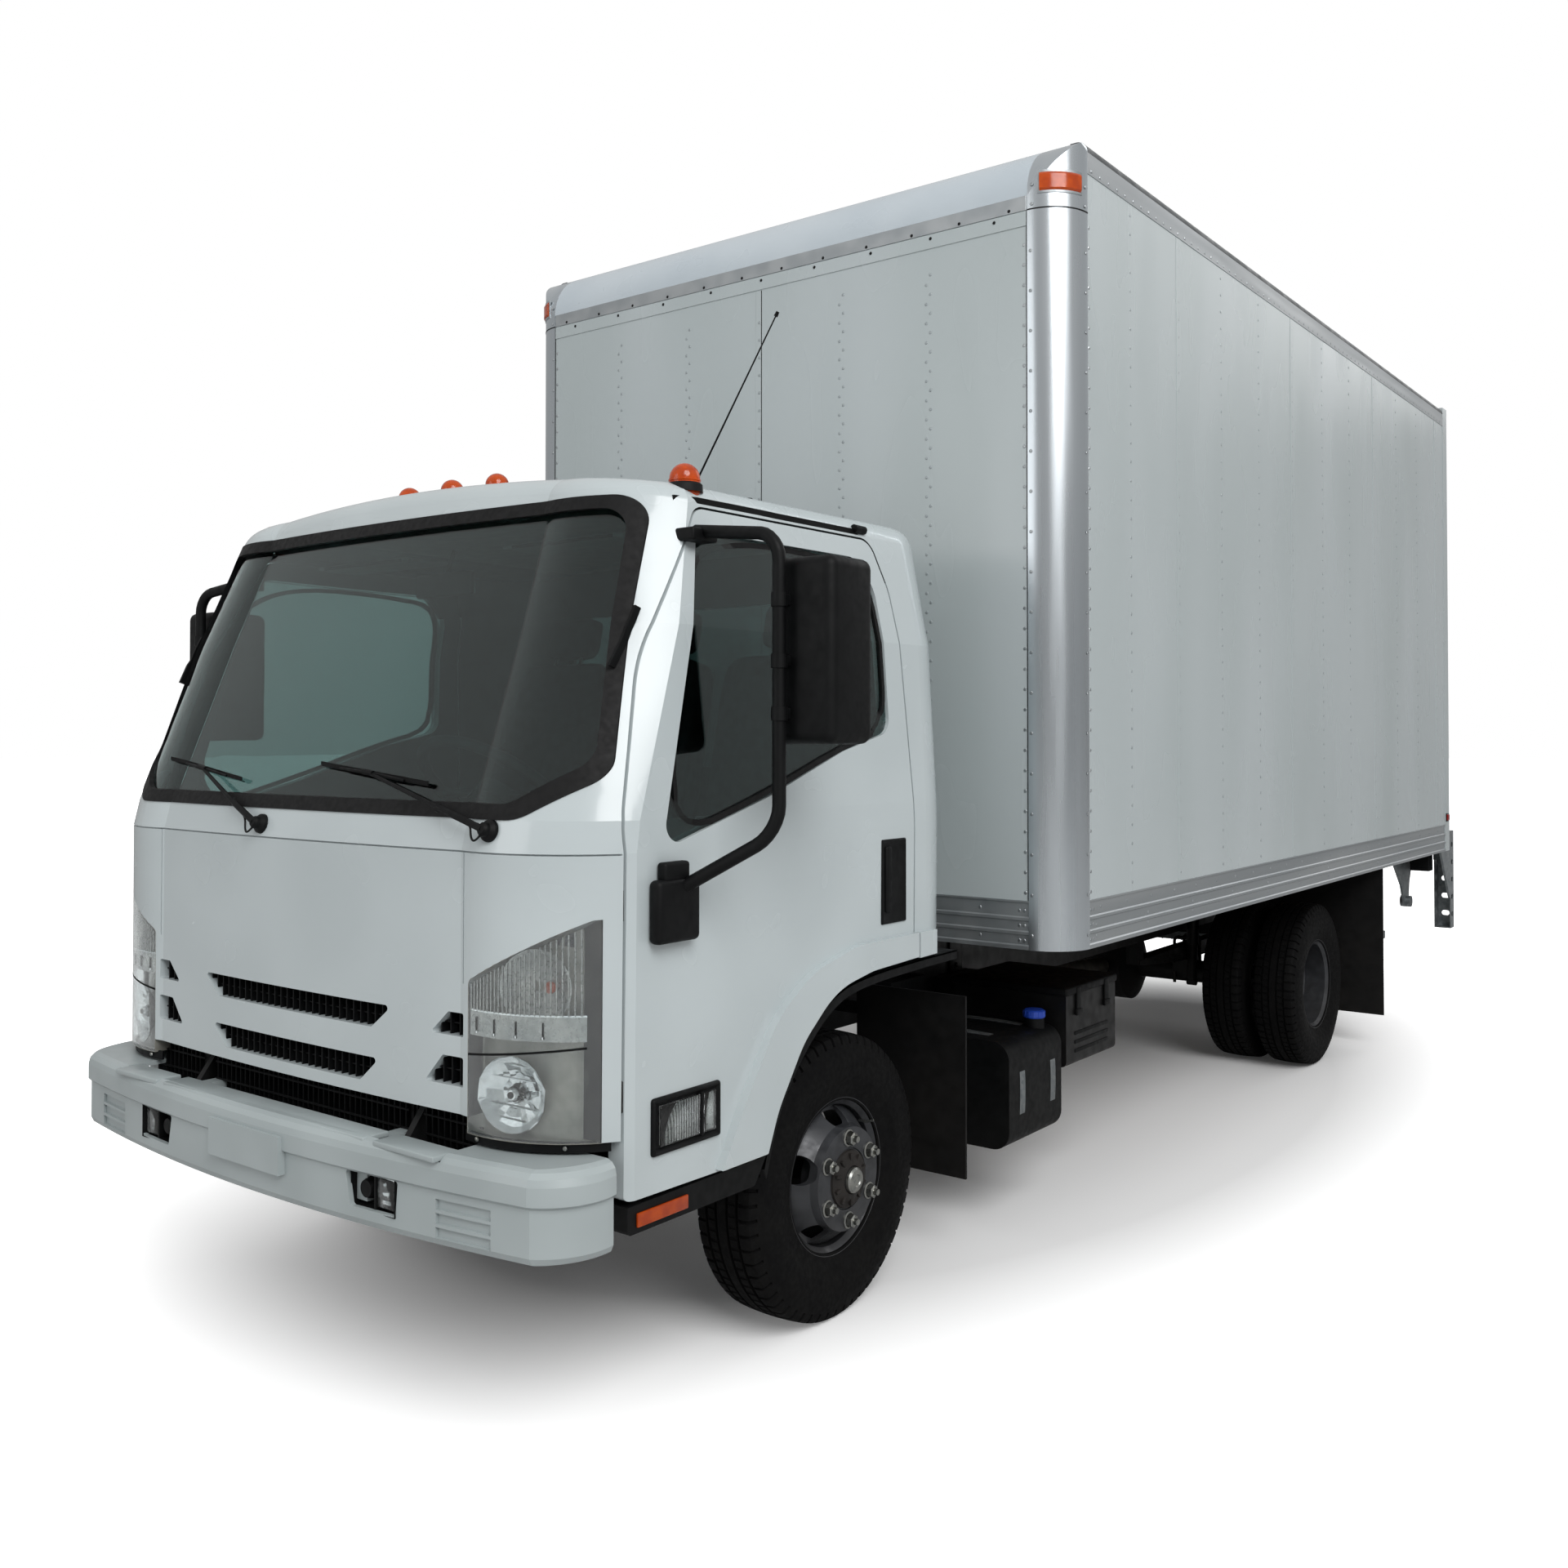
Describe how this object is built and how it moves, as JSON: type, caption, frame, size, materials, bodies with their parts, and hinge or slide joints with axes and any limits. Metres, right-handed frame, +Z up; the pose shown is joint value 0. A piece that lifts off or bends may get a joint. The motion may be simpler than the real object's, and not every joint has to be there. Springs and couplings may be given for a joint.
{
  "type": "box truck",
  "caption": "Tilt-cab box truck with a riveted freight box on a ladder frame, opening doors, steered front wheels, twin rear wheels and a folding lift platform.",
  "frame": {"origin": "centre of the bounding box at ground level", "axes": "+Z up, +X to the truck's left, the truck drives towards -Y"},
  "size_m": [2.69, 6.995, 3.4859],
  "materials": {
    "frame_black": "satin black chassis paint",
    "cast_iron": "rough cast",
    "tube_steel": "aluminised tube",
    "black_plastic": "moulded black",
    "white_paint": "gloss white",
    "box_white": "pre-painted aluminium sheet",
    "aluminium": "mill finish extrusion",
    "deck_wood": "laminated hardwood boards",
    "galvanised": "hot-dip galvanised",
    "rubber": "matt",
    "tyre": "matt",
    "wheel_silver": "silver wheel paint",
    "window_glass": "tinted green-grey",
    "lamp_lens": "clear lens over reflector",
    "amber_lens": "amber lens",
    "seat_cloth": "woven",
    "dash_plastic": "grained"
  },
  "bodies": {
    "chassis": {"ladder_frame": "frame_black", "front_axle": "frame_black", "rear_axle": "frame_black", "leaf_springs": "frame_black", "engine": "cast_iron", "driveshaft": "tube_steel", "exhaust": "tube_steel", "fuel_tank": "frame_black", "def_tank": "black_plastic", "battery_box": "frame_black", "front_bumper": "white_paint", "mudflaps": "rubber", "box_floor": "deck_wood", "floor_beams": "frame_black", "box_walls": "box_white", "box_roof": "box_white", "corner_posts": "aluminium", "body_rails": "aluminium", "rear_frame": "box_white", "rear_door": "box_white", "box_lamps": "amber_lens", "liftgate_frame": "galvanised"},
    "cab": {"cab_back": "white_paint", "cab_pillars": "white_paint", "cab_roof": "white_paint", "cab_floor": "frame_black", "front_panel": "white_paint", "grille": "white_paint", "cab_glass": "window_glass", "windshield_seal": "rubber", "cab_lamps": "lamp_lens", "roof_lamps": "amber_lens", "wipers": "black_plastic", "dashboard": "dash_plastic", "seats": "seat_cloth", "steering_column": "dash_plastic", "cab_steps": "black_plastic"},
    "left_door": {"left_door": "white_paint", "left_door_window": "window_glass", "left_mirror": "black_plastic"},
    "right_door": {"right_door": "white_paint", "right_door_window": "window_glass", "right_mirror": "black_plastic"},
    "steering_wheel": {"steering_wheel": "dash_plastic"},
    "left_knuckle": {"left_knuckle": "cast_iron"},
    "right_knuckle": {"right_knuckle": "cast_iron"},
    "tie_rod": {"tie_rod": "tube_steel"},
    "left_front_wheel": {"left_front_wheel": "wheel_silver", "left_front_tyre": "tyre"},
    "right_front_wheel": {"right_front_wheel": "wheel_silver", "right_front_tyre": "tyre"},
    "left_rear_wheels": {"left_rear_wheels": "wheel_silver", "left_rear_tyres": "tyre"},
    "right_rear_wheels": {"right_rear_wheels": "wheel_silver", "right_rear_tyres": "tyre"},
    "liftgate_arms": {"liftgate_arms": "galvanised"},
    "liftgate_platform": {"liftgate_platform": "galvanised"}
  },
  "joints": [
    {"name": "cab_tilt", "type": "hinge", "parent": "chassis", "child": "cab", "pos_m": [0, -3.3925, 0.56], "axis": [1, 0, 0], "range_deg": [0, 45]},
    {"name": "left_door_hinge", "type": "hinge", "parent": "cab", "child": "left_door", "pos_m": [0.998, -3.1765, 1.1], "axis": [0, 0, -1], "range_deg": [0, 70]},
    {"name": "right_door_hinge", "type": "hinge", "parent": "cab", "child": "right_door", "pos_m": [-0.998, -3.1765, 1.1], "axis": [0, 0, 1], "range_deg": [0, 70]},
    {"name": "left_steer", "type": "hinge", "parent": "chassis", "child": "left_knuckle", "pos_m": [0.69, -2.2925, 0.386], "axis": [0, 0, 1], "range_deg": [-35, 35]},
    {"name": "right_steer", "type": "hinge", "parent": "chassis", "child": "right_knuckle", "pos_m": [-0.69, -2.2925, 0.386], "axis": [0, 0, 1], "range_deg": [-35, 35]},
    {"name": "tie_rod_pivot", "type": "hinge", "parent": "left_knuckle", "child": "tie_rod", "pos_m": [0.69, -2.1275, 0.294], "axis": [0, 0, 1], "range_deg": [-35, 35]},
    {"name": "steering_wheel_turn", "type": "hinge", "parent": "cab", "child": "steering_wheel", "pos_m": [0.43, -3.0625, 1.44], "axis": [0, 0.6428, 0.766], "range_deg": [-630, 630]},
    {"name": "left_front_spin", "type": "hinge", "parent": "left_knuckle", "child": "left_front_wheel", "pos_m": [0.838, -2.2925, 0.386], "axis": [1, 0, 0], "continuous": true},
    {"name": "right_front_spin", "type": "hinge", "parent": "right_knuckle", "child": "right_front_wheel", "pos_m": [-0.838, -2.2925, 0.386], "axis": [1, 0, 0], "continuous": true},
    {"name": "left_rear_spin", "type": "hinge", "parent": "chassis", "child": "left_rear_wheels", "pos_m": [0.825, 1.5175, 0.386], "axis": [1, 0, 0], "continuous": true},
    {"name": "right_rear_spin", "type": "hinge", "parent": "chassis", "child": "right_rear_wheels", "pos_m": [-0.825, 1.5175, 0.386], "axis": [1, 0, 0], "continuous": true},
    {"name": "liftgate_lift", "type": "hinge", "parent": "chassis", "child": "liftgate_arms", "pos_m": [0, 2.6575, 0.56], "axis": [-1, 0, 0], "range_deg": [0, 40]},
    {"name": "liftgate_level", "type": "hinge", "parent": "liftgate_arms", "child": "liftgate_platform", "pos_m": [0, 3.3875, 0.56], "axis": [-1, 0, 0], "range_deg": [-40, 0]}
  ],
  "couplings": [
    {"joint": "right_steer", "follows": "left_steer", "ratio": 1},
    {"joint": "tie_rod_pivot", "follows": "left_steer", "ratio": -1},
    {"joint": "steering_wheel_turn", "follows": "left_steer", "ratio": 18},
    {"joint": "liftgate_level", "follows": "liftgate_lift", "ratio": -1}
  ]
}
